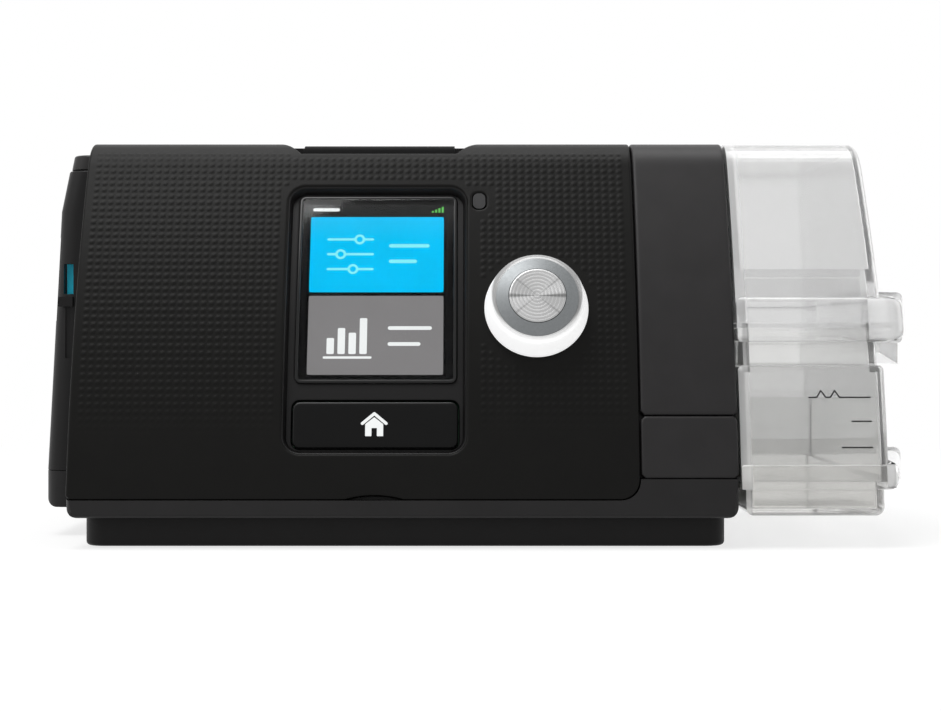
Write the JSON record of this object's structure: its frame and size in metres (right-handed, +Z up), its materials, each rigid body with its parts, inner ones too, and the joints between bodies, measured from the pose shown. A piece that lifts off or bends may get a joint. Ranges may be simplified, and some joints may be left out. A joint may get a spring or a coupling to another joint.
{
  "type": "cpap machine",
  "caption": "Bedside breathing-therapy machine: sloped front with display, push dial, home and start buttons, and a clear water tub with hinged lid docked in its side.",
  "frame": {"origin": "on the resting surface, under the centre of the whole machine", "axes": "+Z up, +X to the right seen from the front, +Y to the back"},
  "size_m": [0.255, 0.1496, 0.116],
  "materials": {
    "plinth_plastic": "fine moulded grain",
    "case_plastic": "satin moulded",
    "fascia_plastic": "fine square-grid texture",
    "panel_plastic": "satin moulded",
    "button_plastic": "satin moulded",
    "smoked_lens": "smoked, polished",
    "display_glass": "clear polished",
    "display_panel": "lit display",
    "circuit_board": "solder mask",
    "switch_plastic": "moulded",
    "shaft_steel": "ground",
    "screw_steel": "plated",
    "dial_white": "satin white",
    "dial_metal": "spun",
    "card_blue": "moulded",
    "shield_metal": "tinned",
    "ribbon": "flat",
    "blower_plastic": "moulded",
    "impeller_plastic": "moulded",
    "motor_iron": "machined",
    "silicone": "soft",
    "silicone_clear": "soft, translucent",
    "rubber": "soft",
    "foam": "open-cell foam",
    "filter_media": "felted",
    "heater_metal": "satin",
    "tub_tray": "translucent grey",
    "tub_clear": "clear moulded"
  },
  "bodies": {
    "housing": {"base_plinth": "plinth_plastic", "rubber_feet": "rubber", "case_screws": "screw_steel", "lower_case": "case_plastic", "upper_case": "case_plastic", "front_fascia": "fascia_plastic", "light_sensor_lens": "smoked_lens", "control_bezel": "case_plastic", "display_lens": "display_glass", "lcd_module": "display_panel", "control_boards": "circuit_board", "tact_switches": "switch_plastic", "right_front_panel": "panel_plastic", "name_panel": "panel_plastic", "encoder_body": "switch_plastic", "left_side_cover": "case_plastic", "left_top_trim": "case_plastic", "card_reader": "switch_plastic", "main_board": "circuit_board", "radio_module": "shield_metal", "ribbon_cable": "ribbon", "blower_housing_lower": "blower_plastic", "blower_housing_upper": "blower_plastic", "motor_bearings": "shaft_steel", "motor_stator": "motor_iron", "motor_cap": "blower_plastic", "blower_mounts": "silicone", "blower_outlet_duct": "silicone", "muffler_box": "blower_plastic", "muffler_foam": "foam", "inlet_bellows": "silicone", "filter_housing": "blower_plastic", "power_inlet": "switch_plastic", "air_outlet_connector": "case_plastic", "outlet_pocket": "case_plastic", "outlet_elbow": "silicone", "bay_liner": "plinth_plastic", "port_seals": "silicone", "heater_plate": "heater_metal", "heater_insulator": "switch_plastic", "heater_springs": "shaft_steel"},
    "home_button": {"home_button": "button_plastic"},
    "start_button": {"start_stop_button": "button_plastic"},
    "dial_shaft": {"dial_shaft": "shaft_steel"},
    "dial": {"dial_skirt": "dial_white", "dial_ring": "dial_metal", "dial_cap": "dial_metal"},
    "rotor": {"impeller": "impeller_plastic", "motor_shaft": "shaft_steel", "motor_rotor": "motor_iron"},
    "tub": {"tub_base": "tub_tray", "tub_heater_plate": "heater_metal", "tub_body": "tub_clear", "tub_hinge_pin": "shaft_steel"},
    "lid": {"tub_lid": "tub_clear", "lid_seal": "silicone_clear"},
    "memory_card": {"sd_card": "card_blue"},
    "adapter_cover": {"adapter_cover": "case_plastic"},
    "filter_cover": {"filter_cover": "case_plastic", "air_filter": "filter_media"}
  },
  "joints": [
    {"name": "home_press", "type": "slide", "parent": "housing", "child": "home_button", "axis": [0, 0.9745, -0.2244], "range_m": [0, 0.0008], "stiffness_N_per_m": 800},
    {"name": "start_press", "type": "slide", "parent": "housing", "child": "start_button", "axis": [0, 0, -1], "range_m": [0, 0.0008], "stiffness_N_per_m": 800},
    {"name": "dial_turn", "type": "hinge", "parent": "housing", "child": "dial_shaft", "pos_m": [0.0168, -0.06094, 0.0662], "axis": [0, -0.9435, 0.3314], "continuous": true},
    {"name": "dial_press", "type": "slide", "parent": "dial_shaft", "child": "dial", "axis": [0, 0.9435, -0.3314], "range_m": [0, 0.0006], "stiffness_N_per_m": 1200},
    {"name": "impeller_spin", "type": "hinge", "parent": "housing", "child": "rotor", "pos_m": [-0.064, 0.006, 0.05], "axis": [0, 0, 1], "continuous": true},
    {"name": "tub_slide", "type": "slide", "parent": "housing", "child": "tub", "axis": [1, 0, 0], "range_m": [0, 0.12]},
    {"name": "lid_hinge", "type": "hinge", "parent": "tub", "child": "lid", "pos_m": [0.013, 0, 0.0606], "axis": [0, -1, 0], "range_deg": [0, 84.5]},
    {"name": "card_pull", "type": "slide", "parent": "housing", "child": "memory_card", "axis": [-1, 0, 0], "range_m": [0, 0.036]},
    {"name": "adapter_cover_pull", "type": "slide", "parent": "housing", "child": "adapter_cover", "axis": [-1, 0, 0], "range_m": [0, 0.02]},
    {"name": "filter_cover_pull", "type": "slide", "parent": "housing", "child": "filter_cover", "axis": [0, 1, 0], "range_m": [0, 0.03]}
  ],
  "couplings": [
    {"joint": "lid_hinge", "follows": "tub_slide", "rad_per_m": 12.217}
  ]
}
